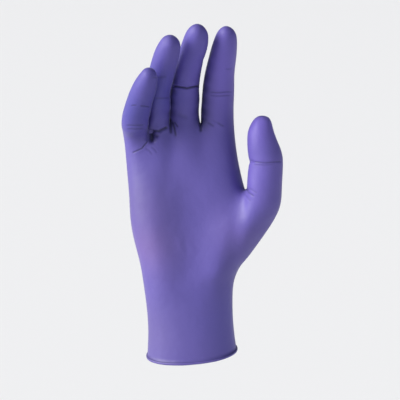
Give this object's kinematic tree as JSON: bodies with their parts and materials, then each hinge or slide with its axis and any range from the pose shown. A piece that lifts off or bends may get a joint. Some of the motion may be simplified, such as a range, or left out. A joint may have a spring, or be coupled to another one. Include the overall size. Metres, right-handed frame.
{
  "type": "nitrile exam glove",
  "caption": "Thin hollow disposable glove in its worn form, with a slim rolled bead round the open cuff and the fingers gently curled.",
  "frame": {"origin": "the middle of the wrist opening, where the cuff goes round the wrist", "axes": "+Z from the wrist towards the fingertips, -Y the way the palm faces, +X towards the thumb"},
  "size_m": [0.1109, 0.0562, 0.2385],
  "materials": {
    "nitrile": "satin, slightly translucent violet-blue nitrile film with a fine matt grip at the fingertips"
  },
  "bodies": {
    "root": {"glove": "nitrile"}
  },
  "joints": []
}
